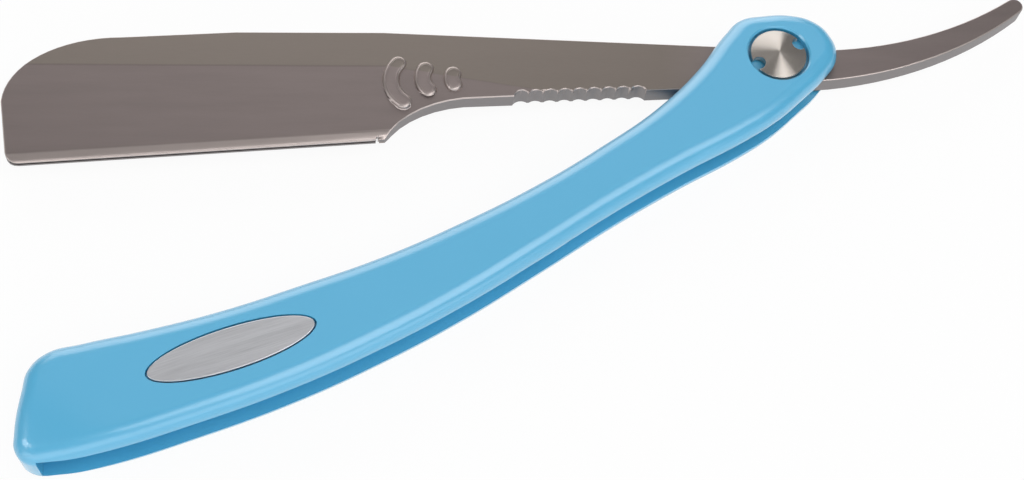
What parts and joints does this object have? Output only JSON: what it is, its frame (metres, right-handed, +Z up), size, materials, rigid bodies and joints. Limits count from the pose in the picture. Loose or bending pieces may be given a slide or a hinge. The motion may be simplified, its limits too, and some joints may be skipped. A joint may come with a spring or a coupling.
{
  "type": "replaceable blade straight razor",
  "caption": "Folding razor whose steel holder clamps a replaceable blade and turns on a screwed pivot between the slotted scales of a moulded handle.",
  "frame": {"origin": "middle of the bounding box's underside, with the razor part open and lying on the back face of its handle", "axes": "+X from the blade holder's toe to its tang, +Y from the blade edge to the spine, +Z up, out of the front face with the badge and the pivot screw"},
  "size_m": [0.1612, 0.0772, 0.0104],
  "materials": {
    "satin_steel": "satin, brushed along its length",
    "blue_resin": "polished moulding",
    "spun_steel": "turned, with fine rings",
    "brushed_plate": "brushed along its length, bare",
    "washer_plastic": "plain"
  },
  "bodies": {
    "handle_body": {"handle": "blue_resin", "badge_plate": "brushed_plate", "pivot_screw": "spun_steel", "pivot_nut": "spun_steel", "front_washer": "washer_plastic", "back_washer": "washer_plastic"},
    "holder_body": {"blade_holder": "satin_steel", "back_jaw": "satin_steel", "jaw_rivet_toe": "satin_steel", "jaw_rivet_middle": "satin_steel", "jaw_rivet_heel": "satin_steel"}
  },
  "joints": [
    {"name": "fold_pivot", "type": "hinge", "parent": "handle_body", "child": "holder_body", "pos_m": [0.03775, 0.02542, 0.005], "axis": [0, 0, -1], "range_deg": [-22.4, 318]}
  ]
}
